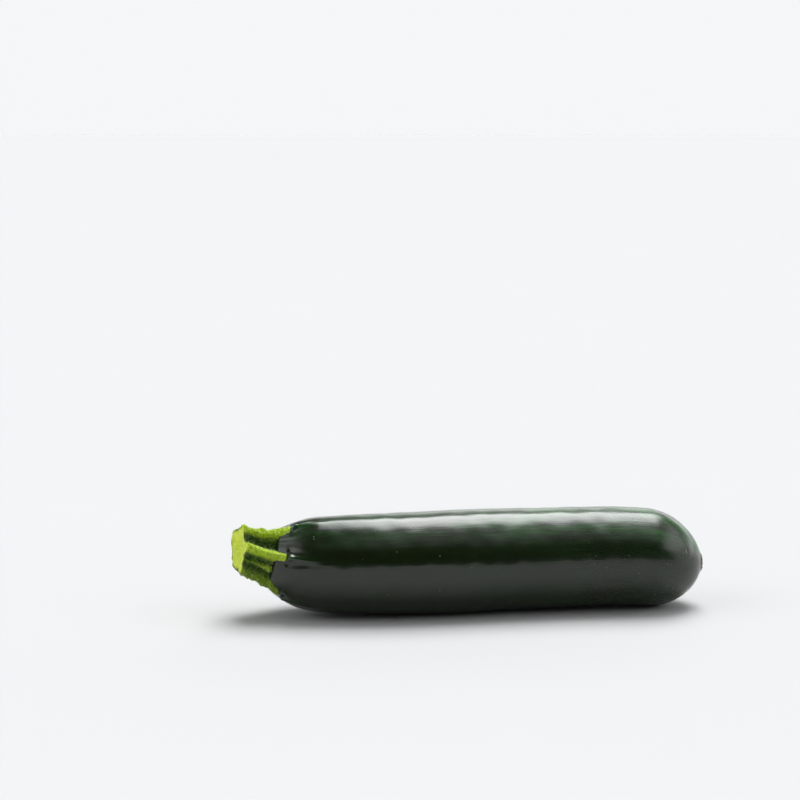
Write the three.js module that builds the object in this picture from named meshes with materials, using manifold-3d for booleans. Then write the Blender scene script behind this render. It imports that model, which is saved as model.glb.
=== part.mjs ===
// A courgette as picked, lying on its flattest side: the glossy fruit, and on its shoulder the ribbed, cut
// stem. Millimetres, +Z up. The fruit runs along X with the stem at -X. The origin is under the middle of the
// courgette, on the surface that it lies on.
import * as THREE from "three";
import { mergeVertices } from "three/addons/utils/BufferGeometryUtils.js";
import Module from "manifold-3d";

const wasm = await Module();
wasm.setup();

// Fruit: lengths run along its axis from the seat, which is the flat end that the stem grows from.
const fruitLength = 185.5; // seat to blossom end
const fruitDiameter = 44.2; // at its widest
const widestAt = 75; // from the seat
const shoulderNarrowing = 3.4; // of the diameter, where the shoulder starts to close in
const shoulderLength = 20; // from the seat
const shoulderReach = 26.8; // long half axis of the shoulder's ellipse, which the seat cuts short
const seatDome = 1.6; // rise of the seat's middle over its rim
const tipNarrowing = 1.7; // of the diameter, where the blossom end starts to close in
const tipLength = 23.3; // long half axis of the blossom end's dome
const tipFullness = 1.9; // 2 is an ellipse, more is blunter

// Blossom scar: the low button that the flower leaves.
const scarDiameter = 8.6;
const scarHeight = 0.8;
const scarDimple = 0.5;

// Ribs: faint angles down the fruit that start as folds under the stem's ridges.
const ribAngles = [68, 17, -50, -125, -210]; // degrees from the front, over the top: close on the front
const ribHeight = 0.3; // on the body, crest to mean
const ribHeightAtSeat = 0.8;
const ribFade = 22; // how far from the seat the folds die down

// Spine: the fruit lies level but for its ends, and sways a little from front to back along its length.
const neckReach = 24; // where the neck starts to lift, from the seat
const neckLift = 3; // of the seat over the axis, upwards
const neckTurn = 1.3; // of the seat off the axis, to the front
const tipReach = 38; // where the blossom end starts to droop, from its end
const tipDroop = 2.7;
const sway = 2.9; // to the front a quarter of the way along, and to the back at three quarters

// Where the fruit lies its skin is pressed flat.
const pressedFlat = 0.35;

// Stem: a neck with ridges that flare into feet over the shoulder. Heights run out from the seat.
const stemLength = 14.6;
const cutLean = 13; // degrees that the cut leans off square, which leaves the stem longer on top
const stemWaistAt = 7; // height of the ring over the feet
const cutDiameter = 22.4; // over the ridges
const cutValleyDiameter = 17.4; // over the furrows
const waistDiameter = 24.4;
const waistValleyDiameter = 15.6;
const footLength = 4.2; // how far the feet run down the shoulder
const footThickness = 0.7; // of a foot's end, over the skin
const footRise = 1.6; // of a foot over the seat's rim
const furrowInset = 2.6; // of the furrows inside the seat's rim
const ridgeSharpness = [1.1, 2.2, 1.5, 1.6, 1.6]; // in turn from the top: 1 is a plain wave, more is narrower
const ridgeHeightsAtCut = [0.85, 1.9, 1.2, 0.75, 0.75]; // share of the full height
const minorHeights = [0.3, 2.2, 1.1, 1.3, 0.9]; // of the low ridge in each furrow
const cutBevel = 0.5;
const cutDish = 0.7; // how far the middle of the cut has sunk

const seatGap = 0.3; // between the stem and the skin

// Fineness of the meshes.
const fruitSides = 70;
const shoulderSteps = 10;
const bellySteps = 16;
const tipSteps = 12;
const stemSides = 90;
const stemSteps = 9;
const footSteps = 5;

const { cos, sin, hypot, atan2, exp, sqrt, max, PI } = Math;
const turn = 2 * PI;

// The fruit's mean radius at a distance from the seat.
function fruitRadius(along) {
  const widest = fruitDiameter / 2;
  const towardsStem = along < widestAt;
  const end = towardsStem ? shoulderLength : fruitLength - tipLength;
  const narrowing = (towardsStem ? shoulderNarrowing : tipNarrowing) / 2;
  const belly = widest - narrowing * ((along - widestAt) / (end - widestAt)) ** 2;
  const shoulder = max(0, shoulderLength - along) / shoulderReach;
  const tip = Math.min(1, max(0, along - (fruitLength - tipLength)) / tipLength);
  return belly * sqrt(1 - shoulder ** 2) * (1 - tip ** tipFullness) ** (1 / tipFullness);
}

// The spine's point at a distance from the seat, but for the droop. Negative distances are up the stem.
function spinePoint(along) {
  const neck = max(0, 1 - along / neckReach);
  const swayed = -sway * sin((turn * along) / fruitLength);
  return new THREE.Vector3(along, swayed - neckTurn * neck ** 3, neckLift * neck ** 2);
}

// The spine's cross-section there: its middle, and the directions to the front and up in it. The blossom end
// droops with its sections left upright.
function spineSection(along) {
  const step = 0.01;
  const centre = spinePoint(along);
  centre.z -= tipDroop * (max(0, along - (fruitLength - tipReach)) / tipReach) ** 2;
  const forward = spinePoint(along + step).sub(spinePoint(along - step)).normalize();
  const up = new THREE.Vector3(0, 0, 1).addScaledVector(forward, -forward.z).normalize();
  const front = new THREE.Vector3().crossVectors(up, forward).negate();
  return { centre, front, up };
}

// Turns a lathed solid into its true shape: the lathe's axis goes along the spine, and trueOf gives the true
// radius and distance for a lathed radius, angle and distance. The angle is 0 at the front, over the top.
function alongSpine(lathed, trueOf) {
  const position = lathed.getAttribute("position");
  for (let i = 0; i < position.count; i++) {
    const [x, y, z] = [position.getX(i), position.getY(i), position.getZ(i)];
    const angle = atan2(x, -z);
    const [radius, along] = trueOf(hypot(x, z), angle, y);
    const { centre, front, up } = spineSection(along);
    centre.addScaledVector(front, radius * cos(angle)).addScaledVector(up, radius * sin(angle));
    position.setXYZ(i, centre.x, centre.y, centre.z);
  }
  return lathed;
}

// How far round an angle lies, counted in ribs: 0 on the top rib, 1 on the next one to the front.
function ribCount(angle) {
  const down = (ribAngles[0] - (angle * 180) / PI + 720) % 360;
  const edges = [...ribAngles.map((rib) => ribAngles[0] - rib), 360];
  const after = edges.findIndex((edge) => edge > down);
  return THREE.MathUtils.mapLinear(down, edges[after - 1], edges[after], after - 1, after);
}

// Height of the ribs over the mean radius.
function ribRise(angle, along) {
  const height = ribHeight + (ribHeightAtSeat - ribHeight) * exp(-max(0, along) / ribFade);
  return height * cos(turn * ribCount(angle));
}

// The fruit's outline, from the middle of the seat to the middle of the blossom scar, grown by a clearance.
function fruitProfile(clearance) {
  const points = [];
  const onSkin = (along) => points.push(new THREE.Vector2(fruitRadius(along) + clearance, along));
  for (const share of [0, 0.4, 0.65, 0.82, 0.93, 1]) {
    const along = -clearance - seatDome * (1 - share ** 4);
    points.push(new THREE.Vector2((fruitRadius(0) + clearance) * share, along));
  }
  for (let i = 1; i <= shoulderSteps; i++) onSkin(shoulderLength * (i / shoulderSteps) ** 1.3);
  const belly = fruitLength - tipLength - shoulderLength;
  for (let i = 1; i <= bellySteps; i++) onSkin(shoulderLength + (belly * i) / bellySteps);
  const scarRadius = scarDiameter / 2;
  for (let i = 1; i < tipSteps; i++) {
    const along = fruitLength - tipLength * (1 - sin((i / tipSteps) * (PI / 2)));
    if (fruitRadius(along) > scarRadius * 1.1) onSkin(along);
  }
  const skin = fruitLength - 0.02 * tipLength;
  points.push(new THREE.Vector2(scarRadius + clearance, skin + clearance));
  points.push(new THREE.Vector2(scarRadius * 0.88 + clearance, skin + scarHeight + clearance));
  points.push(new THREE.Vector2(scarRadius * 0.5, skin + scarHeight + clearance));
  points.push(new THREE.Vector2(0, skin + scarHeight - scarDimple + clearance));
  return points;
}

function fruitGeometry(clearance = 0) {
  const lathed = new THREE.LatheGeometry(fruitProfile(clearance), fruitSides);
  const scarRadius = scarDiameter / 2;
  alongSpine(lathed, (radius, angle, along) => {
    const share = Math.min(1, max(0, radius - scarRadius) / fruitDiameter) * 2;
    return [radius < 0.01 ? 0 : radius + ribRise(angle, along) * Math.min(1, share), along];
  });
  lathed.computeBoundingBox();
  const floor = lathed.boundingBox.min.z + pressedFlat;
  const position = lathed.getAttribute("position");
  for (let i = 0; i < position.count; i++) {
    position.setZ(i, max(position.getZ(i), floor));
  }
  return lathed;
}

// A smooth curve through hand-picked rings of [height, radius], as a function of height.
function through(rings) {
  const curve = new THREE.SplineCurve(rings.map(([height, radius]) => new THREE.Vector2(height, radius)));
  const samples = curve.getPoints(200);
  return (height) => {
    const above = samples.findIndex((sample) => sample.x >= height);
    if (above === 0) return samples[0].y;
    if (above < 0) return samples[samples.length - 1].y;
    const [a, b] = [samples[above - 1], samples[above]];
    return THREE.MathUtils.mapLinear(height, a.x, b.x, a.y, b.y);
  };
}

const crestRadius = through([
  [-footLength, fruitRadius(footLength) + seatGap + footThickness],
  [0, fruitRadius(0) + seatGap + footRise],
  [stemWaistAt, waistDiameter / 2],
  [stemLength, cutDiameter / 2],
]);
const furrowRadius = through([
  [-footLength, fruitRadius(0) - furrowInset],
  [0, fruitRadius(0) - furrowInset],
  [stemWaistAt, waistValleyDiameter / 2],
  [stemLength, cutValleyDiameter / 2],
]);

// The stem's radius. From each crest (1) it falls to a furrow (0), and a low ridge stands in each furrow.
function stemRadius(angle, height) {
  const turns = ribCount(angle);
  const ridge = Math.round(turns) % ribAngles.length;
  const up = max(0, height) / stemLength;
  const crest = ((1 + cos(turn * turns)) / 2) ** ridgeSharpness[ridge];
  const ridgeHeight = 1 + (ridgeHeightsAtCut[ridge] - 1) * up;
  const low = ((1 - cos(turn * turns)) / 2) ** 6 * minorHeights[Math.floor(turns)] * (1 - up / 1.5);
  const furrow = furrowRadius(height);
  return furrow + (crestRadius(height) - furrow) * crest * ridgeHeight + low;
}

// The stem's outline, from the middle of its foot, which the fruit hides, to the middle of the cut.
function stemProfile() {
  const foot = new THREE.Vector2(0, footLength);
  const points = [foot, new THREE.Vector2(crestRadius(-footLength) * 0.55, footLength)];
  const onCrest = (height) => points.push(new THREE.Vector2(crestRadius(height), -height));
  for (let i = 0; i < footSteps; i++) onCrest(-footLength * (1 - i / footSteps));
  for (let i = 0; i <= stemSteps; i++) onCrest((stemLength - cutBevel) * (i / stemSteps));
  const rim = cutDiameter / 2 - cutBevel;
  points.push(new THREE.Vector2(rim, -stemLength));
  points.push(new THREE.Vector2(rim * 0.7, -stemLength + cutDish * 0.5));
  points.push(new THREE.Vector2(rim * 0.35, -stemLength + cutDish * 0.9));
  points.push(new THREE.Vector2(0, -stemLength + cutDish));
  return points;
}

function stemGeometry() {
  const lathed = new THREE.LatheGeometry(stemProfile().reverse(), stemSides);
  const lean = Math.tan((cutLean * PI) / 180) / stemLength;
  return alongSpine(lathed, (radius, angle, along) => {
    const height = Math.min(-along, stemLength);
    const shaped = (radius * stemRadius(angle, height)) / crestRadius(height);
    return [shaped, along - max(0, height) * lean * shaped * sin(angle)];
  });
}

// A closed geometry as a solid, and a solid as a geometry.
function solidOf(geometry) {
  const bare = new THREE.BufferGeometry();
  bare.setAttribute("position", geometry.getAttribute("position"));
  bare.setIndex(geometry.getIndex());
  const merged = mergeVertices(bare, 1e-3);
  return new wasm.Manifold(
    new wasm.Mesh({
      numProp: 3,
      vertProperties: merged.getAttribute("position").array,
      triVerts: new Uint32Array(merged.getIndex().array),
    }),
  );
}

function geometryOf(solid) {
  const mesh = solid.getMesh();
  const geometry = new THREE.BufferGeometry();
  geometry.setAttribute("position", new THREE.BufferAttribute(mesh.vertProperties, 3));
  geometry.setIndex(new THREE.BufferAttribute(mesh.triVerts, 1));
  geometry.computeVertexNormals();
  return geometry;
}

function makeFruit() {
  const skin = new THREE.MeshStandardMaterial({ color: 0x1c3320, roughness: 0.28, metalness: 0 });
  const fruit = new THREE.Mesh(fruitGeometry(), skin);
  fruit.name = "fruit";
  return fruit;
}

function makeStem() {
  const stalk = new THREE.MeshStandardMaterial({ color: 0x8fb52e, roughness: 0.75, metalness: 0 });
  const seated = solidOf(stemGeometry()).subtract(solidOf(fruitGeometry(seatGap)));
  const stem = new THREE.Mesh(geometryOf(seated), stalk);
  stem.name = "stem";
  return stem;
}

// The two pieces, moved so that the courgette's middle is over the origin and its flat side is at z = 0.
function makeCourgette() {
  const courgette = new THREE.Group();
  courgette.add(makeFruit(), makeStem());
  const box = new THREE.Box3().setFromObject(courgette, true);
  const middle = box.getCenter(new THREE.Vector3());
  for (const piece of courgette.children) {
    piece.position.set(-middle.x, -middle.y, -box.min.z);
  }
  return courgette;
}

export default makeCourgette();
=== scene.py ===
"""A courgette as picked, lying on a pale studio floor.

It is a glossy dark green fruit with faint ribs, folds round its stem and a blossom scar at its other
end, and the cut stub of its stem, with ridges that run out into feet on the fruit's shoulder.
"""

from math import cos, pi, radians, sin, sqrt, tan

import bpy
import numpy as np
from bpy.props import FloatProperty, FloatVectorProperty, IntProperty, PointerProperty
from mathutils import Matrix, Vector


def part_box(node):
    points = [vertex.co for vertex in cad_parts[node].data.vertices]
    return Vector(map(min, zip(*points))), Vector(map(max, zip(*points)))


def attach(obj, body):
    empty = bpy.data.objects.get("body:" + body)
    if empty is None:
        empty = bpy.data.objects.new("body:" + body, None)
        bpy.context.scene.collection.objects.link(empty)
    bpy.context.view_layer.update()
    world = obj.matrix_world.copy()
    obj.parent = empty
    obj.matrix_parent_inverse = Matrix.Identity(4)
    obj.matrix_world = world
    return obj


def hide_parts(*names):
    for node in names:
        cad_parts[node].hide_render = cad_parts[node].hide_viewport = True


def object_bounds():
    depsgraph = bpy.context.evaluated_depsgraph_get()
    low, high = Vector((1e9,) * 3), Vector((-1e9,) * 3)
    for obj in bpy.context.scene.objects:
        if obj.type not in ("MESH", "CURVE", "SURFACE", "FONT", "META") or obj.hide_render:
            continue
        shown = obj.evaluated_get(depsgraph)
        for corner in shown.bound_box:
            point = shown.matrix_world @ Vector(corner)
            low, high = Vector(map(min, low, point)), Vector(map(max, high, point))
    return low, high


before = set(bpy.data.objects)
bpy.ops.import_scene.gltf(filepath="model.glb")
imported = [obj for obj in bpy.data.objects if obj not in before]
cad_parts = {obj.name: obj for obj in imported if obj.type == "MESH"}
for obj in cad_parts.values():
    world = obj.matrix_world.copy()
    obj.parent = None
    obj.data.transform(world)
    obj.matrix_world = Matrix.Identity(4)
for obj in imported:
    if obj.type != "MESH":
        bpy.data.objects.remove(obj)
CAD_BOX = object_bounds()

bl_info = {
    "name": "Courgette",
    "version": (1, 0, 0),
    "blender": (4, 5, 0),
    "location": "3D View > Sidebar > Courgette",
    "description": "Makes a courgette and the studio that it lies in",
    "category": "Add Mesh",
}

BODY = "root"
TURN = 2 * pi
MM = 0.001

# The ribs and the ridges that end in them, in turn from the top one: angles from the front, over the top.
RIBS = (68, 17, -50, -125, -210)
RIDGE_SHARPNESS = (1.1, 2.2, 1.5, 1.6, 1.6)
RIDGE_HEIGHTS_AT_CUT = (0.85, 1.9, 1.2, 0.75, 0.75)
# Heights of the low ridges, each after the ridge of the same place, in millimetres.
MINOR_HEIGHTS = (0.3, 2.2, 1.1, 1.3, 0.9)

FRUIT_SEED = 11
STEM_SEED = 23
BRISTLE_SEED = 5

# Rings of points along the fruit and the stem, in turn from one end to the other.
SEAT_RINGS = 14
SHOULDER_RINGS = 90
BELLY_RINGS = 150
TIP_RINGS = 100
SCAR_RIM_RINGS = 10
SCAR_MIDDLE_RINGS = 12
STEM_SIDE_RINGS = 90
CUT_ROUND_RINGS = 8
CUT_FACE_RINGS = 42

# Waves that add up to each kind of unevenness: their lengths along, the turns round, and how many there are.
SWELLS = ((40 * MM, 120 * MM), (1, 4), 10)
DENTS = ((9 * MM, 26 * MM), (3, 11), 16)
WRINKLES = ((14 * MM, 40 * MM), (26, 60), 14)
SCAR_RAGS = ((4 * MM, 9 * MM), (3, 15), 12)
FIBRES = ((14 * MM, 40 * MM), (30, 90), 22)
LUMPS = ((3 * MM, 9 * MM), (3, 14), 16)
GRAINS = ((1.1 * MM, 2.6 * MM), (20, 60), 40)
CUT_LUMPS = ((1.2 * MM, 4 * MM), (2, 9), 18)

WRINKLE_HEIGHT = 0.1 * MM
WRINKLE_REACH = 6 * MM
SCAR_RAG_HEIGHT = 0.12 * MM
CUT_LUMP_HEIGHT = 0.22 * MM

# The knob that a fold of skin has just beyond its foot, in folds' heights, and half its length.
KNOB_HEIGHT = 0.55
KNOB_REACH = 1.4 * MM

# The short slit in the skin near the blossom end.
SLIT_FROM_END = 8 * MM
SLIT_ANGLE = radians(27)
SLIT_HALF_WIDTH = 0.35 * MM
SLIT_HALF_LENGTH = 1.1 * MM
SLIT_DEPTH = 0.35 * MM

# The stem over the seat, how deep its feet's ends sink in the skin, and how deep its furrows do at the seat.
SEAT_GAP = 0.3 * MM
FOOT_SUNK = 0.4 * MM
FURROW_SUNK = 0.7 * MM

# The bundles in the cut: their number, their size, and how far out they lie by turns.
BUNDLES = 10
BUNDLE_RADIUS = 0.75 * MM
BUNDLE_HEIGHT = 0.22 * MM
BUNDLES_OUT = (0.88, 0.62)

BRISTLE_RADIUS = 0.07 * MM
BRISTLE_SUNK = 0.1 * MM
BRISTLE_SCATTER = 0.35

# Lengths along in the grain's noise, as shares of the real ones, which draw its lumps out into streaks.
SKIN_GRAIN = 0.12
STEM_GRAIN = 0.15


# ---------------------------------------------------------------- settings


def metres(name, description, default):
    return FloatProperty(name=name, description=description, default=default,
                         unit="LENGTH", subtype="DISTANCE", precision=5)


def degrees(name, description, default):
    return FloatProperty(name=name, description=description, default=radians(default),
                         unit="ROTATION", subtype="ANGLE")


def colour(name, description, default):
    return FloatVectorProperty(name=name, description=description, default=default,
                               subtype="COLOR", size=3, min=0, max=1)


def number(name, description, default):
    return FloatProperty(name=name, description=description, default=default)


def whole(name, description, default):
    return IntProperty(name=name, description=description, default=default, min=1)


class FruitSettings(bpy.types.PropertyGroup):
    """Distances along the fruit run from its seat, which is the end that the stem grows from."""

    length: metres("Length", "Seat to blossom end", 0.1855)
    diameter: metres("Diameter", "At the widest", 0.0442)
    widest_at: metres("Widest at", "Distance of the widest place from the seat", 0.075)
    shoulder_narrowing: metres("Shoulder narrowing", "Lost from the diameter by the shoulder", 0.0034)
    shoulder_length: metres("Shoulder length", "Where the shoulder starts to close in", 0.020)
    shoulder_reach: metres("Shoulder reach", "Long half axis of the shoulder's ellipse", 0.0268)
    seat_dome: metres("Seat dome", "Rise of the seat's middle over its rim", 0.0016)
    tip_narrowing: metres("Tip narrowing", "Lost from the diameter by the blossom end", 0.0017)
    tip_length: metres("Tip length", "Long half axis of the blossom end's dome", 0.0233)
    tip_fullness: number("Tip fullness", "2 is an ellipse, more is blunter", 1.9)
    scar_diameter: metres("Scar diameter", "Of the button that the flower leaves", 0.0086)
    scar_height: metres("Scar height", "Of the button's rim over the skin", 0.0008)
    scar_dimple: metres("Scar dimple", "How far the button's middle is sunk", 0.0005)
    rib_height: metres("Rib height", "On the body, crest to mean", 0.0003)
    rib_height_at_seat: metres("Rib height at the seat", "Crest to mean", 0.0008)
    rib_fade: metres("Rib fade", "How far from the seat the folds die down", 0.022)
    neck_reach: metres("Neck reach", "Where the neck starts to lift", 0.024)
    neck_lift: metres("Neck lift", "Of the seat over the axis", 0.003)
    neck_turn: metres("Neck turn", "Of the seat off the axis, to the front", 0.0013)
    tip_reach: metres("Tip reach", "Where the blossom end starts to droop, from its end", 0.038)
    tip_droop: metres("Tip droop", "Of the blossom end under the axis", 0.0027)
    sway: metres("Sway", "To the front in the first half, and to the back in the second", 0.0029)
    pressed_flat: metres("Pressed flat", "Height of skin lost where the fruit lies on it", 0.00035)
    pucker_height: metres("Pucker height", "Of the fold of skin that runs on from each foot", 0.0012)
    pucker_width: metres("Pucker width", "Of that fold, from its crest down", 0.0012)
    pucker_reach: metres("Pucker reach", "How far that fold runs before it has died down", 0.0085)
    unevenness: metres("Unevenness", "Height of the broad swells in the skin", 0.00016)
    sides: whole("Sides", "Fineness round the fruit", 256)
    skin_dark: colour("Skin, dark", "Between the streaks", (0.006, 0.0115, 0.0025))
    skin_green: colour("Skin, green", "In the streaks", (0.028, 0.14, 0.028))
    skin_speck: colour("Skin, speck", "Of the pale specks", (0.20, 0.27, 0.15))
    scar_tan: colour("Scar", "Of the blossom scar's dry middle", (0.19, 0.15, 0.085))


class StemSettings(bpy.types.PropertyGroup):
    """Heights run up the stem from the fruit's seat."""

    length: metres("Length", "Seat to the middle of the cut", 0.0146)
    cut_lean: degrees("Cut lean", "Of the cut off square, which leaves the stem longer on top", 13)
    waist_at: metres("Waist at", "Height of the ring where the feet have ended", 0.007)
    cut_diameter: metres("Cut diameter", "Over the ridges", 0.0224)
    cut_valley: metres("Cut valley diameter", "Over the furrows", 0.0174)
    waist_diameter: metres("Waist diameter", "Over the ridges", 0.0244)
    waist_valley: metres("Waist valley diameter", "Over the furrows", 0.0156)
    foot_length: metres("Foot length", "How far the feet run down the shoulder", 0.0042)
    foot_thickness: metres("Foot thickness", "Of a foot's end over the skin", 0.0007)
    foot_rise: metres("Foot rise", "Of a foot over the seat's rim", 0.0016)
    furrow_inset: metres("Furrow inset", "Of the furrows inside the seat's rim", 0.0026)
    fibre_height: metres("Fibre height", "Of the strings that run up the stem", 0.0002)
    cut_round: metres("Cut rounding", "Of the rim of the cut", 0.0010)
    cut_dish: metres("Cut dish", "How far the middle of the cut has sunk", 0.0007)
    sides: whole("Sides", "Fineness round the stem", 400)
    bristles: whole("Bristles", "Number of stiff hairs", 2200)
    bristle_length: metres("Bristle length", "Of the longest", 0.0008)
    # The crest and furrow colours are partly the stem's own, and partly painted light on the crests and
    # painted shade in the furrows.
    crest_green_and_light: colour("Crest", "Of the ridges", (0.46, 0.66, 0.008))
    furrow_green_and_shade: colour("Furrow", "Of the furrows", (0.028, 0.075, 0.002))
    fuzz_green: colour("Fuzz", "Of the dry fuzz on the sides", (0.56, 0.68, 0.30))
    cut_green: colour("Cut", "Of the cut face", (0.80, 0.93, 0.06))
    pith_green: colour("Pith", "Of the darker patches of the cut face", (0.46, 0.62, 0.03))
    bundle_green: colour("Bundles", "Of the bundles in the cut face", (0.72, 0.8, 0.2))
    bristle_dark: colour("Bristle, dark", "Of the darkest bristles", (0.62, 0.74, 0.32))
    bristle_pale: colour("Bristle, pale", "Of the palest bristles", (0.85, 0.9, 0.66))


class StudioSettings(bpy.types.PropertyGroup):
    """The camera looks at the courgette from its front. The light comes from overhead and from both ends."""

    azimuth: degrees("Azimuth", "Of the camera, from straight in front", -7)
    elevation: degrees("Elevation", "Of the camera over the floor", 13)
    distance: metres("Distance", "Of the camera from the courgette", 0.814)
    lens: number("Lens", "Focal length in millimetres", 85)
    pan: degrees("Pan", "How far the camera looks to the left of the courgette", 2.15)
    tilt: degrees("Tilt", "How far the camera looks over the courgette", 4.82)
    floor_size: metres("Floor size", "Side of the floor", 120.0)
    floor_white: colour("Floor", "Of the floor", (0.605, 0.608, 0.612))
    softbox_radiance: number("Softbox", "Brightness of the softbox, where 1 shows as white", 9.0)
    softbox_aside: number("Softbox aside", "To the right, as a share of its distance", 0.18)
    softbox_width: number("Softbox width", "As a share of its distance", 0.34)
    tail_radiance: number("Softbox tail", "Brightness of its faint edge towards the camera", 0.65)
    rim_radiance: number("Rim", "Brightness of the lit wall low down at the back", 1.3)
    side_radiance: number("Sides", "Brightness of the lit walls at both ends of the courgette", 1.8)
    surround: number("Surround", "Brightness of the pale room", 0.93)
    dark_side: number("Dark side", "Brightness of the room behind the camera", 0.03)
    light_colour: colour("Light colour", "Of all the light", (0.985, 0.992, 1.0))


# ---------------------------------------------------------------- shader expressions


class Value:
    """A shader socket that is used in Python expressions, which add the Math nodes that they need."""

    def __init__(self, shader, socket):
        self.shader = shader
        self.socket = socket

    def _math(self, operation, *inputs, **settings):
        settings["operation"] = operation
        return self.shader.node("ShaderNodeMath", settings, dict(enumerate(inputs)))

    def __add__(self, other):
        return self._math("ADD", self, other)

    def __radd__(self, other):
        return self._math("ADD", other, self)

    def __sub__(self, other):
        return self._math("SUBTRACT", self, other)

    def __rsub__(self, other):
        return self._math("SUBTRACT", other, self)

    def __mul__(self, other):
        return self._math("MULTIPLY", self, other)

    def __rmul__(self, other):
        return self._math("MULTIPLY", other, self)

    def unsigned(self):
        """The value without its sign."""
        return self._math("ABSOLUTE", self)

    def clamped(self):
        """The value held between 0 and 1."""
        return self._math("ADD", self, 0.0, use_clamp=True)

    def over(self, low, high):
        """0 below low and 1 above high, with a smooth step between. Low may be above high."""
        step = {"interpolation_type": "SMOOTHSTEP"}
        if low < high:
            return self.shader.node("ShaderNodeMapRange", step, {0: self, 1: low, 2: high, 3: 0.0, 4: 1.0})
        return self.shader.node("ShaderNodeMapRange", step, {0: self, 1: high, 2: low, 3: 1.0, 4: 0.0})


class Shader:
    """A material or a world whose nodes are added by calls."""

    def __init__(self, owner):
        owner.use_nodes = True
        self.owner = owner
        self.tree = owner.node_tree
        self.tree.nodes.clear()

    def node(self, kind, settings, inputs, output=0):
        """Adds a node with its settings and the values or links of its sockets, and returns one output."""
        made = self.tree.nodes.new(kind)
        for name, value in settings.items():
            setattr(made, name, value)
        for key, value in inputs.items():
            if isinstance(value, Value):
                self.tree.links.new(value.socket, made.inputs[key])
            else:
                made.inputs[key].default_value = value
        return Value(self, made.outputs[output]) if made.outputs else None

    def mix(self, share, first, second):
        """The first colour where share is 0, and the second where it is 1."""
        first, second = (c if isinstance(c, Value) else (*c, 1.0) for c in (first, second))
        return self.node("ShaderNodeMix", {"data_type": "RGBA"}, {0: share, 6: first, 7: second}, 2)

    def place(self, stretch=(1.0, 1.0, 1.0)):
        """The point on the piece in millimetres, with each axis stretched."""
        point = self.node("ShaderNodeTexCoord", {}, {}, "Object")
        scale = tuple(share / MM for share in stretch)
        return self.node("ShaderNodeVectorMath", {"operation": "MULTIPLY"}, {0: point, 1: scale})

    def noise(self, place, size, detail=2.0, roughness=0.5):
        """Noise from 0 to 1 whose lumps are about size millimetres across."""
        inputs = {"Vector": place, "Scale": 1 / size, "Detail": detail, "Roughness": roughness}
        return self.node("ShaderNodeTexNoise", {}, inputs, "Fac")

    def cells(self, place, size, output="Distance"):
        """Voronoi cells about size millimetres across."""
        return self.node("ShaderNodeTexVoronoi", {}, {"Vector": place, "Scale": 1 / size}, output)

    def mask(self, name, output="Fac"):
        """A value that the mesh holds at each of its points."""
        settings = {"attribute_type": "GEOMETRY", "attribute_name": name}
        return self.node("ShaderNodeAttribute", settings, {}, output)

    def bump(self, height, depth, strength=1.0, below=None):
        """A bump whose height of 1 stands depth metres high, over the bump below."""
        inputs = {"Height": height, "Strength": strength, "Distance": depth}
        if below is not None:
            inputs["Normal"] = below
        return self.node("ShaderNodeBump", {}, inputs)

    def finish(self, **sockets):
        """Adds the Principled shader, with spaces for the underscores in the sockets' names."""
        inputs = {name.replace("_", " "): value for name, value in sockets.items()}
        surface = self.node("ShaderNodeBsdfPrincipled", {}, inputs)
        self.node("ShaderNodeOutputMaterial", {}, {"Surface": surface})
        return self.owner


def new_shader(name):
    return Shader(bpy.data.materials.new(name))


# ---------------------------------------------------------------- forms on a spine


def smooth_step(value, low, high):
    """0 at low and 1 at high, and level at both. Low may be above high."""
    share = np.clip((value - low) / (high - low), 0, 1)
    return share * share * (3 - 2 * share)


def through(rings):
    """A smooth curve through rings of (height, radius), as a function of height."""
    points = np.array(rings, float)
    last = len(points) - 1
    place = np.linspace(0, last, 200)
    first = np.minimum(place.astype(int), last - 1)
    share = (place - first)[:, None]
    p0, p1, p2, p3 = (points[np.clip(first + step, 0, last)] for step in (-1, 0, 1, 2))
    slope_in = (p2 - p0) / 2
    slope_out = (p3 - p1) / 2
    curve = (
        p1
        + slope_in * share
        + (3 * (p2 - p1) - 2 * slope_in - slope_out) * share ** 2
        + (2 * (p1 - p2) + slope_in + slope_out) * share ** 3
    )
    return lambda height: np.interp(height, curve[:, 0], curve[:, 1])


def ripples(rng, angle, along, wavelengths, turns, count):
    """Irregular waves between about -1 and 1. The wavelengths run along, and the turns are waves round."""
    total = np.zeros(np.broadcast(angle, along).shape)
    for _ in range(count):
        waves_round = rng.integers(turns[0], turns[1] + 1)
        wavelength = rng.uniform(*wavelengths) * rng.choice((-1, 1))
        total += np.cos(waves_round * angle + TURN * along / wavelength + rng.uniform(0, TURN))
    return total / sqrt(2 * count)


def fruit_radius(along, fruit):
    """The fruit's mean radius at a distance from the seat."""
    tip_start = fruit.length - fruit.tip_length
    towards_stem = along < fruit.widest_at
    end = np.where(towards_stem, fruit.shoulder_length, tip_start)
    narrowing = np.where(towards_stem, fruit.shoulder_narrowing, fruit.tip_narrowing) / 2
    belly = fruit.diameter / 2 - narrowing * ((along - fruit.widest_at) / (end - fruit.widest_at)) ** 2
    shoulder = np.maximum(0, fruit.shoulder_length - along) / fruit.shoulder_reach
    tip = np.clip((along - tip_start) / fruit.tip_length, 0, 1)
    return belly * np.sqrt(1 - shoulder ** 2) * (1 - tip ** fruit.tip_fullness) ** (1 / fruit.tip_fullness)


def spine_point(along, fruit):
    """The spine's point at a distance from the seat, which is negative up the stem, without the droop."""
    neck = np.maximum(0, 1 - along / fruit.neck_reach)
    swayed = -fruit.sway * np.sin(TURN * along / fruit.length)
    return np.stack([along, swayed - fruit.neck_turn * neck ** 3, fruit.neck_lift * neck ** 2], -1)


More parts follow.
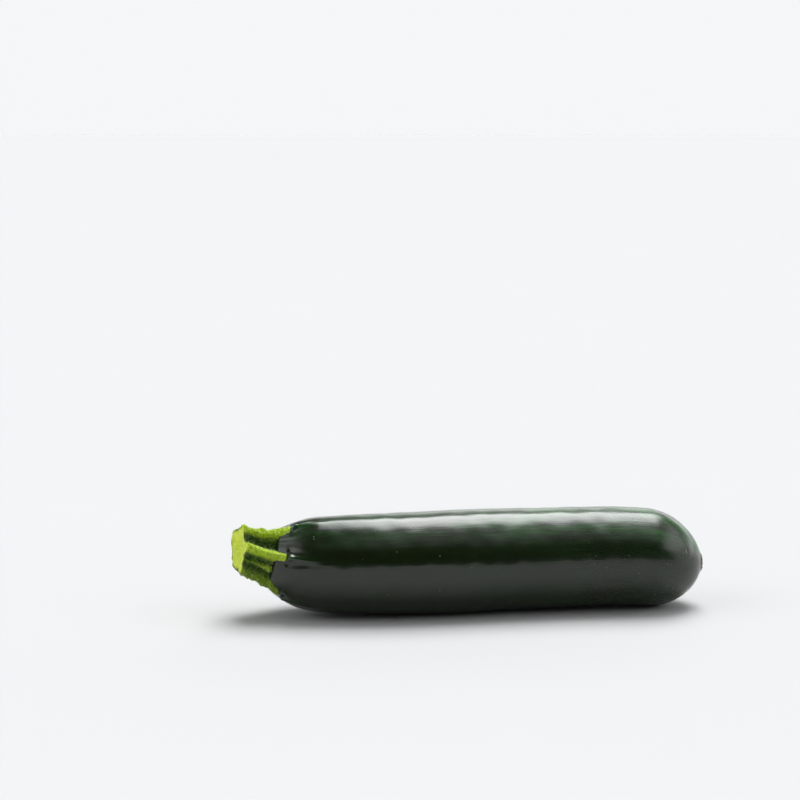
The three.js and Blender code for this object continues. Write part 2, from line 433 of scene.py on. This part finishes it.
def round_spine(radius, angle, along, fruit):
    """Points at a radius, an angle that is 0 at the front and a quarter turn at the top, and a distance."""
    step = 0.01 * MM
    forward = spine_point(along + step, fruit) - spine_point(along - step, fruit)
    forward /= np.linalg.norm(forward, axis=-1, keepdims=True)
    up = np.array([0.0, 0.0, 1.0]) - forward[..., 2:] * forward
    up /= np.linalg.norm(up, axis=-1, keepdims=True)
    front = np.cross(forward, up)
    outward = np.cos(angle)[..., None] * front + np.sin(angle)[..., None] * up
    points = spine_point(along, fruit) + radius[..., None] * outward
    tip = np.maximum(0, along - (fruit.length - fruit.tip_reach)) / fruit.tip_reach
    points[..., 2] -= fruit.tip_droop * tip ** 2
    return points


def rib_count(angle):
    """How far round an angle lies, counted in ribs: 0 on the top rib, 1 on the next one to the front."""
    edges = [RIBS[0] - rib for rib in RIBS] + [360]
    return np.interp((RIBS[0] - np.degrees(angle)) % 360, edges, range(len(edges)))


def off_angle(angle, other):
    """How far an angle is from another one, from minus half a turn to half a turn."""
    return (angle - other + pi) % TURN - pi


def rib_rise(angle, along, fruit):
    """How far the ribs stand over the fruit's mean radius."""
    fade = np.exp(-np.maximum(0, along) / fruit.rib_fade)
    height = fruit.rib_height + (fruit.rib_height_at_seat - fruit.rib_height) * fade
    return height * np.cos(TURN * rib_count(angle))


def grain_place(radius, angle, along, share):
    """Where a point lies in the grain's noise, in millimetres, with its distance cut down to a share."""
    return np.stack([radius * np.cos(angle), radius * np.sin(angle), share * along], -1) / MM


# ---------------------------------------------------------------- meshes


def add_values(mesh, name, values):
    """Stores one number, or one triple, at each of the mesh's points."""
    triples = values.ndim == 2
    attribute = mesh.attributes.new(name, "FLOAT_VECTOR" if triples else "FLOAT", "POINT")
    attribute.data.foreach_set("vector" if triples else "value", values.ravel().astype(np.float32))


def closed_mesh(name, points, values):
    """A closed form from a grid of rings x sides, whose first and last rings are single points."""
    rings, sides = points.shape[:2]

    def flat(grid):
        inner = grid[1:-1].reshape(-1, *grid.shape[2:])
        return np.concatenate([grid[:1, 0], inner, grid[-1:, 0]])

    side = np.arange(sides)
    after = (side + 1) % sides
    row = 1 + sides * np.arange(rings - 3)[:, None]
    quads = np.stack([row + side, row + after, row + sides + after, row + sides + side], -1).reshape(-1, 4)
    last_row = 1 + sides * (rings - 3)
    pole = 1 + sides * (rings - 2)
    first_fan = [(0, int(b), int(a)) for a, b in zip(1 + side, 1 + after)]
    last_fan = [(pole, int(a), int(b)) for a, b in zip(last_row + side, last_row + after)]
    mesh = bpy.data.meshes.new(name)
    mesh.from_pydata(flat(points).tolist(), [], first_fan + quads[:, ::-1].tolist() + last_fan)
    for key, grid in values.items():
        add_values(mesh, key, flat(grid))
    mesh.polygons.foreach_set("use_smooth", [True] * len(mesh.polygons))
    mesh.update()
    return mesh


def add_piece(name, mesh, material, slot, *replaced):
    """Puts a piece in the scene, on the one body, in place of the CAD nodes it replaces. The slot is not
    used.
    """
    piece = bpy.data.objects.new(name, mesh)
    bpy.context.scene.collection.objects.link(piece)
    mesh.materials.append(material)
    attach(piece, BODY)
    if replaced:
        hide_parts(*replaced)
    return piece


# ---------------------------------------------------------------- fruit


def fruit_rings(fruit):
    """The rings' mean radii and distances from the seat, with each ring's share of the blossom scar."""
    seat = np.linspace(0, 1, SEAT_RINGS)
    seat_radius = fruit_radius(np.zeros(1), fruit)[0] * seat
    seat_along = -fruit.seat_dome * (1 - seat ** 4)
    tip_start = fruit.length - fruit.tip_length
    folds_end = 1.4 * fruit.shoulder_length
    shoulder = np.linspace(0, folds_end, SHOULDER_RINGS)[1:]
    belly = np.linspace(folds_end, tip_start, BELLY_RINGS)[1:]
    round_over = np.linspace(0, pi / 2, TIP_RINGS)[1:]
    tip = fruit.length - fruit.tip_length * (1 - np.sin(round_over))
    scar_radius = fruit.scar_diameter / 2
    tip = tip[fruit_radius(tip, fruit) > 1.1 * scar_radius]
    skin = np.concatenate([shoulder, belly, tip])
    share = np.concatenate([np.linspace(1.04, 0.84, SCAR_RIM_RINGS), np.linspace(0.8, 0, SCAR_MIDDLE_RINGS)])
    skin_end = fruit.length - 0.02 * fruit.tip_length
    rim = smooth_step(share, 1.04, 0.72) * fruit.scar_height
    dimple = smooth_step(share, 0.7, 0.25) * fruit.scar_dimple
    radius = np.concatenate([seat_radius, fruit_radius(skin, fruit), scar_radius * share])
    along = np.concatenate([seat_along, skin, skin_end + rim - dimple])
    scar = np.concatenate([np.zeros(len(seat) + len(skin)), smooth_step(share, 1.04, 0.74)])
    return radius, along, scar


def press_flat(points, floor, softness=0.2 * MM):
    """Raises what is under the floor to it, with a soft edge."""
    over = points[..., 2] - floor
    points[..., 2] = floor + (over + np.sqrt(over ** 2 + softness ** 2)) / 2


def plain_fruit(fruit):
    """The fruit with its ribs but with no finer detail: its grid of radii, angles, distances and points."""
    radius, along, scar = (ring[:, None] for ring in fruit_rings(fruit))
    angle = np.linspace(0, TURN, fruit.sides, endpoint=False)[None, :]
    radius, along, scar, angle = np.broadcast_arrays(radius, along, scar, angle)
    ribbed = np.clip((radius - fruit.scar_diameter / 2) / fruit.diameter * 2, 0, 1)
    radius = radius + rib_rise(angle, along, fruit) * ribbed
    return radius, angle, along, scar, round_spine(radius, angle, along, fruit)


def to_frame(fruit):
    """The move from the fruit's own spine to its place in the frame, and the floor before that move."""
    points = plain_fruit(fruit)[-1]
    floor = points[..., 2].min() + fruit.pressed_flat
    low, high = (np.array(corner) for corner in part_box("fruit"))
    middle = (points.min((0, 1)) + points.max((0, 1))) / 2
    move = (low + high) / 2 - middle
    move[2] = low[2] - floor
    return move, floor


def pucker(angle, along, radius, fruit, feet_end):
    """Folds of skin that start just beyond the feet: over 1 on a knob, and a little under 0 beside it."""
    total = np.zeros(along.shape)
    for rib in np.radians(RIBS):
        beside = np.abs(off_angle(angle, rib)) * radius / fruit.pucker_width
        total += np.exp(-beside ** 2) - 0.3 * np.exp(-((beside - 2.2) ** 2))
    gone = np.maximum(0, along - 1.3 * feet_end) / fruit.pucker_reach
    knob = np.exp(-(((along - 1.5 * feet_end) / KNOB_REACH) ** 2))
    clear_of_feet = smooth_step(along, 0.95 * feet_end, 1.4 * feet_end)
    return total * (np.exp(-gone ** 1.5) + KNOB_HEIGHT * knob) * clear_of_feet


def in_slit(angle, along, radius, fruit):
    """1 in the short slit that runs round the fruit near its blossom end, and 0 away from it."""
    beside = (along - (fruit.length - SLIT_FROM_END)) / SLIT_HALF_WIDTH
    over = off_angle(angle, SLIT_ANGLE) * radius / SLIT_HALF_LENGTH
    return np.exp(-beside ** 2 - over ** 4)


def make_fruit(fruit, stem):
    """The fruit with its skin, from the seat under the stem to the blossom scar."""
    rng = np.random.default_rng(FRUIT_SEED)
    radius, angle, along, scar, _ = plain_fruit(fruit)
    on_skin = (1 - scar) * smooth_step(along, -fruit.seat_dome, 2 * MM)
    folds = pucker(angle, along, radius, fruit, stem.foot_length)
    swells = ripples(rng, angle, along, *SWELLS)
    dents = ripples(rng, angle, along, *DENTS)
    wrinkles = ripples(rng, angle, along, *WRINKLES) * np.exp(-np.abs(along) / WRINKLE_REACH)
    slit = in_slit(angle, along, radius, fruit)
    rise = fruit.unevenness * (swells + 0.45 * dents) + WRINKLE_HEIGHT * wrinkles
    rise += fruit.pucker_height * folds
    rise -= SLIT_DEPTH * slit
    ragged = SCAR_RAG_HEIGHT * ripples(rng, angle, along, *SCAR_RAGS) * scar
    points = round_spine(radius + rise * on_skin, angle, along + ragged, fruit)
    move, floor = to_frame(fruit)
    press_flat(points, floor)
    values = {
        "grain": grain_place(radius, angle, along, SKIN_GRAIN),
        "towards_tip": along / fruit.length,
        # Near 1 on the upper side: partly the skin's own tone, partly painted light on top.
        "top_tone_and_painted_light": smooth_step(np.sin(angle), 0.4, 0.9),
        "fold": np.clip(folds, 0, 1) * on_skin,
        "scar": scar,
        "slit": slit,
    }
    mesh = closed_mesh("courgette_fruit", points + move, values)
    return add_piece("courgette_fruit", mesh, skin_material(fruit), "skin", "fruit")


def skin_material(fruit):
    """Glossy dark green, with streaks and mottling that are greener towards the blossom end, and greener on
    top, partly the skin's own tone and partly painted light.
    """
    s = new_shader("courgette_skin")
    grain = s.mask("grain", "Vector")
    place = s.place()
    streaks = s.noise(grain, 3.4, 5, 0.62).over(0.4, 0.68)
    mottle = s.noise(s.place((0.5, 1, 1)), 13, 3).over(0.36, 0.68)
    fine = s.noise(grain, 0.5, 3, 0.7)
    far = s.mask("towards_tip").over(0.3, 0.85)
    # Greener on top, partly the skin's own tone and partly painted light, and greener towards the blossom
    # end.
    greener = (0.1 + 0.9 * s.mask("top_tone_and_painted_light")) * (0.45 + 0.75 * far)
    share = (streaks * 0.5 + mottle * 0.4 + fine.over(0.45, 0.8) * 0.25) * greener
    base = s.mix(share.clamped(), fruit.skin_dark, fruit.skin_green)
    chosen = s.cells(place, 3.6, "Color").over(0.5, 0.6)
    speck = s.cells(place, 3.6).over(0.075, 0.04) * chosen
    base = s.mix(speck * 0.75, base, fruit.skin_speck)
    base = s.mix(s.mask("fold") * 0.25, base, fruit.skin_green)
    scar = s.mask("scar").over(0.5, 0.95) * s.noise(place, 1.1, 4, 0.7).over(0.25, 0.6)
    base = s.mix(scar * 0.85, base, fruit.scar_tan)
    base = s.mix(s.mask("slit") * 0.9, base, fruit.skin_dark)
    roughness = 0.15 + 0.1 * fine + 0.08 * far + 0.2 * speck + 0.35 * scar
    relief = s.bump(s.noise(place, 0.8, 3, 0.65), 0.07 * MM, 0.45)
    relief = s.bump(s.noise(grain, 1.8, 3, 0.6), 0.16 * MM, 0.45, relief)
    relief = s.bump(speck, 0.08 * MM, 0.6, relief)
    return s.finish(Base_Color=base, Roughness=roughness, Normal=relief, IOR=1.45,
                    Coat_Weight=0.25, Coat_Roughness=0.07)


# ---------------------------------------------------------------- stem


def stem_profiles(stem, fruit):
    """The stem's radius over its ridges and over its furrows, each as a function of height."""
    seat = fruit_radius(np.zeros(1), fruit)[0]
    foot = stem.foot_length
    foot_skin = fruit_radius(np.array([foot]), fruit)[0]
    ridges = through([
        (-foot, foot_skin + SEAT_GAP + stem.foot_thickness),
        (0, seat + SEAT_GAP + stem.foot_rise),
        (stem.waist_at, stem.waist_diameter / 2),
        (stem.length, stem.cut_diameter / 2),
    ])
    furrows = through([
        (-foot, seat - stem.furrow_inset),
        (0, seat - stem.furrow_inset),
        (stem.waist_at, stem.waist_valley / 2),
        (stem.length, stem.cut_valley / 2),
    ])
    return ridges, furrows


def stem_rings(stem):
    """Each ring's height, its share of the stem's radius, and how far it is on the face of the cut."""
    root = -1.3 * stem.foot_length
    side = np.linspace(root, stem.length - stem.cut_round, STEM_SIDE_RINGS)
    round_over = np.linspace(0, pi / 2, CUT_ROUND_RINGS)[1:]
    face_edge = 1 - stem.cut_round / stem.cut_diameter * 2
    face = np.linspace(face_edge, 0, CUT_FACE_RINGS)[1:]
    height = np.concatenate([
        [root, root],
        side,
        stem.length - stem.cut_round * (1 - np.sin(round_over)),
        np.full(len(face), stem.length),
    ])
    share = np.concatenate([
        [0, 0.6],
        np.ones(len(side)),
        face_edge + (1 - face_edge) * np.cos(round_over),
        face,
    ])
    on_face = smooth_step(height, stem.length - 0.6 * stem.cut_round, stem.length)
    return height[:, None], share[:, None], on_face[:, None]


def ridged_stem(angle, height, stem, fruit):
    """The stem's radius, how near each point is to a ridge's crest, and how far it is down its foot."""
    turns = rib_count(angle)
    ridge = np.round(turns).astype(int) % len(RIBS)
    gone_up = np.maximum(0, height) / stem.length
    blunter = 1 - 0.45 * smooth_step(-height, -2 * MM, stem.foot_length)
    crest = ((1 + np.cos(TURN * turns)) / 2) ** (np.array(RIDGE_SHARPNESS)[ridge] * blunter)
    low_height = (np.array(MINOR_HEIGHTS) * MM)[turns.astype(int) % len(RIBS)]
    low = ((1 - np.cos(TURN * turns)) / 2) ** 6 * low_height
    low = low * (1 - gone_up / 1.5)
    ridge_height = 1 + (np.array(RIDGE_HEIGHTS_AT_CUT)[ridge] - 1) * gone_up

    ridges, furrows = stem_profiles(stem, fruit)
    skin = fruit_radius(np.maximum(0, -height), fruit)
    down = -height / stem.foot_length + 0.5 * (1 - crest) * smooth_step(height, 0, -0.5 * stem.foot_length)
    over_skin = (ridges(height) - skin) * smooth_step(down, 1.25, 0.98)
    tapered = skin + over_skin - FOOT_SUNK * smooth_step(down, 1.1, 1.3)
    crest_radius = np.where(down > 0, tapered, ridges(height))
    furrow_radius = furrows(height) - FURROW_SUNK * smooth_step(height, 2 * MM, 0)
    radius = furrow_radius + (crest_radius - furrow_radius) * crest * ridge_height + low
    return radius, np.clip(crest + low / (2 * MM), 0, 1), down


def on_bundles(radius, angle, stem):
    """1 on each bundle of the cut, and 0 between them."""
    total = np.zeros(angle.shape)
    for bundle in range(BUNDLES):
        turned = TURN * bundle / BUNDLES + 0.3
        out = stem.cut_valley / 2 * BUNDLES_OUT[bundle % 2]
        sideways = radius * np.cos(angle) - out * cos(turned)
        upward = radius * np.sin(angle) - out * sin(turned)
        total += np.exp(-((np.hypot(sideways, upward) / BUNDLE_RADIUS) ** 2))
    return total


def make_stem(stem, fruit):
    """The stem, from its feet on the fruit's shoulder to its cut."""
    rng = np.random.default_rng(STEM_SEED)
    angle = np.linspace(0, TURN, stem.sides, endpoint=False)[None, :]
    height, share, on_face, angle = np.broadcast_arrays(*stem_rings(stem), angle)
    radius, crest, down = ridged_stem(angle, height, stem, fruit)
    fibres = ripples(rng, angle, height, *FIBRES)
    lumps = ripples(rng, angle, height, *LUMPS)
    grains = ripples(rng, angle, height, *GRAINS)
    rough = (fibres + 1.1 * grains) * (1 - on_face) + 2.2 * lumps
    radius = radius + stem.fibre_height * rough * smooth_step(down, 1.1, 0.3)
    radius = radius * share

    bundles = on_bundles(radius, angle, stem)
    dish = stem.cut_dish * (1 - share ** 2)
    roughened = CUT_LUMP_HEIGHT * ripples(rng, angle, radius, *CUT_LUMPS)
    height = height + on_face * (roughened * smooth_step(share, 0, 0.2) - dish + BUNDLE_HEIGHT * bundles)
    lean = tan(stem.cut_lean) / stem.length
    along = -height - np.maximum(0, height) * lean * radius * np.sin(angle)
    move, _ = to_frame(fruit)
    points = round_spine(radius, angle, along, fruit) + move
    values = {
        "grain": grain_place(stem.waist_diameter / 2, angle, height, STEM_GRAIN),
        "crest": crest,
        "cut": on_face * smooth_step(share, 0.96, 0.8),
        # Near 0 on the underside, which is darkened partly as the stem's own colour and partly as painted
        # shade.
        "top_tone_and_painted_light": smooth_step(np.sin(angle), -0.75, 0.45),
        "bundle": bundles * on_face,
        "height": height / stem.length,
    }
    backwards = {name: grid[:, ::-1] for name, grid in values.items()}
    mesh = closed_mesh("courgette_stem", points[:, ::-1], backwards)
    return add_piece("courgette_stem", mesh, stem_material(stem), "stem", "stem")


def stem_material(stem):
    """Matt lime green on the ridges and the cut, darker in the furrows and on the underside, with fuzz. The
    crests are lightened partly by painted light, and the furrows and the underside are darkened partly by
    painted shade.
    """
    s = new_shader("courgette_stem")
    place = s.place()
    fibre = s.noise(s.mask("grain", "Vector"), 0.7, 4, 0.65)
    blotch = s.noise(place, 2.6, 3)
    # Darker underneath: partly the stem's own colour, partly painted shade.
    top_tone_and_painted_light = 0.35 + 0.65 * s.mask("top_tone_and_painted_light")
    # Lighter on the crests and darker in the furrows: partly the stem's own colours, partly painted light
    # and painted shade.
    lit = s.mask("crest").over(0.2, 0.85) * 0.95 + fibre.over(0.35, 0.7) * 0.35 + blotch * 0.3 - 0.3
    base = s.mix((lit * top_tone_and_painted_light).clamped(), stem.furrow_green_and_shade, stem.crest_green_and_light)
    grit = s.noise(place, 0.5, 3, 0.75)
    base = s.mix(grit.over(0.5, 0.36) * 0.55, base, stem.furrow_green_and_shade)
    fuzz = grit.over(0.6, 0.7) * (1 - s.mask("crest").over(0.5, 1.0) * 0.6)
    base = s.mix(fuzz * 0.7, base, stem.fuzz_green)
    pith = s.noise(place, 0.9, 4, 0.7)
    cut = s.mix(pith.over(0.35, 0.65) * 0.6, stem.cut_green, stem.pith_green)
    cut = s.mix(s.mask("bundle") * 0.4, cut, stem.bundle_green)
    base = s.mix(s.mask("cut"), base, cut)
    relief = s.bump(fibre, 0.12 * MM, 0.6)
    relief = s.bump(grit, 0.25 * MM, 0.8, relief)
    roughness = 0.6 + 0.3 * fuzz - 0.1 * s.mask("cut")
    return s.finish(Base_Color=base, Roughness=roughness, Normal=relief, Specular_IOR_Level=0.3,
                    Subsurface_Weight=0.08, Subsurface_Radius=(0.8, 1.0, 0.3), Subsurface_Scale=0.5 * MM)


def make_bristles(stem_piece, stem):
    """Short stiff hairs on the stem's ridges, each a three-sided spike."""
    rng = np.random.default_rng(BRISTLE_SEED)
    mesh = stem_piece.data
    count = len(mesh.vertices)
    place = np.empty(count * 3, np.float32)
    normal = np.empty(count * 3, np.float32)
    crest, cut, height = (np.empty(count, np.float32) for _ in range(3))
    mesh.vertices.foreach_get("co", place)
    mesh.vertex_normals.foreach_get("vector", normal)
    for name, values in (("crest", crest), ("cut", cut), ("height", height)):
        mesh.attributes[name].data.foreach_get("value", values)
    on_side = (cut < 0.01) & (height > -0.3) & (height < 0.95)
    weight = np.where(on_side, 0.15 + crest ** 2, 0)
    chosen = rng.choice(count, stem.bristles, replace=False, p=weight / weight.sum())
    foot = place.reshape(-1, 3)[chosen].astype(float)
    out = normal.reshape(-1, 3)[chosen] + rng.normal(0, BRISTLE_SCATTER, (stem.bristles, 3))
    out /= np.linalg.norm(out, axis=1, keepdims=True)
    long = stem.bristle_length * rng.uniform(0.45, 1, (stem.bristles, 1))
    side = np.cross(out, [0.3, 0.5, 0.8])
    side /= np.linalg.norm(side, axis=1, keepdims=True)
    other = np.cross(out, side)
    sunk = foot - BRISTLE_SUNK * out
    thirds = (0, TURN / 3, 2 * TURN / 3)
    corners = [sunk + BRISTLE_RADIUS * (cos(third) * side + sin(third) * other) for third in thirds]
    points = np.stack([*corners, foot + long * out], 1).reshape(-1, 3)
    faces = np.array([(0, 2, 1), (0, 1, 3), (1, 2, 3), (2, 0, 3)])
    faces = (faces[None] + 4 * np.arange(stem.bristles)[:, None, None]).reshape(-1, 3)
    bristles = bpy.data.meshes.new("stem_bristles")
    bristles.from_pydata(points.tolist(), [], faces.tolist())
    bristles.update()
    s = new_shader("bristle")
    tint = s.mix(s.noise(s.place(), 1.2), stem.bristle_dark, stem.bristle_pale)
    material = s.finish(Base_Color=tint, Roughness=0.5)
    return add_piece("stem_bristles", bristles, material, "stem")


# ---------------------------------------------------------------- studio


def make_floor(studio):
    """A broad matt floor under the courgette."""
    half = studio.floor_size / 2
    corners = [(-half, -half, 0), (half, -half, 0), (half, half, 0), (-half, half, 0)]
    mesh = bpy.data.meshes.new("floor")
    mesh.from_pydata(corners, [], [(0, 1, 2, 3)])
    floor = bpy.data.objects.new("floor", mesh)
    bpy.context.scene.collection.objects.link(floor)
    s = new_shader("studio_floor")
    cloud = s.noise(s.place(), 160, 3)
    shade = tuple(0.97 * part for part in studio.floor_white)
    tone = s.mix(cloud * 0.3, studio.floor_white, shade)
    mesh.materials.append(s.finish(Base_Color=tone, Roughness=0.6, Specular_IOR_Level=0.0))


def make_surround(studio):
    """A pale room, dark behind the camera, with lit walls and a softbox overhead that fades to the front.

    Its arc runs in degrees over the courgette, from 0 at the front over the top to 180 at the back.
    """
    world = bpy.data.worlds.new("surround")
    bpy.context.scene.world = world
    s = Shader(world)
    direction = s.node("ShaderNodeTexCoord", {}, {}, "Generated")
    x, y, z = (s.node("ShaderNodeSeparateXYZ", {}, {0: direction}, axis) for axis in "XYZ")
    arc = s.node("ShaderNodeMath", {"operation": "ARCTAN2"}, {0: z, 1: -1.0 * y}) * (180 / pi)
    width = studio.softbox_width / 2
    across = (x - studio.softbox_aside).unsigned().over(width + 0.2, width - 0.04)
    box = arc.over(80, 101) * arc.over(137, 129) * across * studio.softbox_radiance
    tail = arc.over(48, 80) * arc.over(140, 120) * across * studio.tail_radiance
    rim = arc.over(142, 150) * arc.over(172, 162) * x.over(-0.05, 0.2) * studio.rim_radiance
    sideways = x.unsigned()
    high_up = z.over(0.25, 0.5)
    ends = sideways.over(0.45, 0.8) * arc.over(20, 50) * arc.over(125, 100)
    sides = ends * high_up * studio.side_radiance
    lit = (y + sideways * 0.85).over(-0.2, 0.45) * (1 - high_up * 0.85)
    room = lit * (studio.surround - studio.dark_side) + studio.dark_side
    light = {"Color": (*studio.light_colour, 1), "Strength": room + box + tail + rim + sides}
    background = s.node("ShaderNodeBackground", {}, light)
    s.node("ShaderNodeOutputWorld", {}, {"Surface": background})


def make_camera(studio):
    """Aims the camera to the left of the courgette and over it by the pan and the tilt."""
    low, high = CAD_BOX
    target = (low + high) / 2
    azimuth, elevation = studio.azimuth, studio.elevation
    away = Vector((sin(azimuth) * cos(elevation), -cos(azimuth) * cos(elevation), sin(elevation)))
    data = bpy.data.cameras.new("camera")
    data.lens = studio.lens
    data.sensor_width = 36
    data.clip_start = 0.01
    camera = bpy.data.objects.new("camera", data)
    bpy.context.scene.collection.objects.link(camera)
    turned = Matrix.Rotation(azimuth + studio.pan, 4, "Z")
    tipped = Matrix.Rotation(pi / 2 - elevation + studio.tilt, 4, "X")
    camera.matrix_world = Matrix.Translation(target + studio.distance * away) @ turned @ tipped
    bpy.context.scene.camera = camera


# ---------------------------------------------------------------- operators


class COURGETTE_OT_fruit(bpy.types.Operator):
    """Makes the fruit with its skin"""

    bl_idname = "courgette.fruit"
    bl_label = "Fruit"

    def execute(self, context):
        make_fruit(context.scene.courgette_fruit, context.scene.courgette_stem)
        return {"FINISHED"}


class COURGETTE_OT_stem(bpy.types.Operator):
    """Makes the stem and its bristles"""

    bl_idname = "courgette.stem"
    bl_label = "Stem"

    def execute(self, context):
        stem = context.scene.courgette_stem
        make_bristles(make_stem(stem, context.scene.courgette_fruit), stem)
        return {"FINISHED"}


class COURGETTE_OT_studio(bpy.types.Operator):
    """Makes the floor, the lights and the camera"""

    bl_idname = "courgette.studio"
    bl_label = "Studio"

    def execute(self, context):
        studio = context.scene.courgette_studio
        make_camera(studio)
        make_floor(studio)
        make_surround(studio)
        context.scene.view_settings.view_transform = "Standard"
        return {"FINISHED"}


class COURGETTE_PT_sidebar(bpy.types.Panel):
    """Lists the courgette's operators"""

    bl_label = "Courgette"
    bl_idname = "COURGETTE_PT_sidebar"
    bl_space_type = "VIEW_3D"
    bl_region_type = "UI"
    bl_category = "Courgette"

    def draw(self, context):
        for operator in OPERATORS:
            self.layout.operator(operator.bl_idname)


OPERATORS = (COURGETTE_OT_studio, COURGETTE_OT_fruit, COURGETTE_OT_stem)
SETTINGS = {
    "courgette_fruit": FruitSettings,
    "courgette_stem": StemSettings,
    "courgette_studio": StudioSettings,
}


def register():
    for kind in (*SETTINGS.values(), *OPERATORS, COURGETTE_PT_sidebar):
        bpy.utils.register_class(kind)
    for name, kind in SETTINGS.items():
        setattr(bpy.types.Scene, name, PointerProperty(type=kind))


def unregister():
    for name in SETTINGS:
        delattr(bpy.types.Scene, name)
    for kind in (COURGETTE_PT_sidebar, *reversed(OPERATORS), *SETTINGS.values()):
        bpy.utils.unregister_class(kind)


def main():
    register()
    bpy.ops.courgette.studio()
    bpy.ops.courgette.fruit()
    bpy.ops.courgette.stem()


if __name__ == "__main__":
    main()
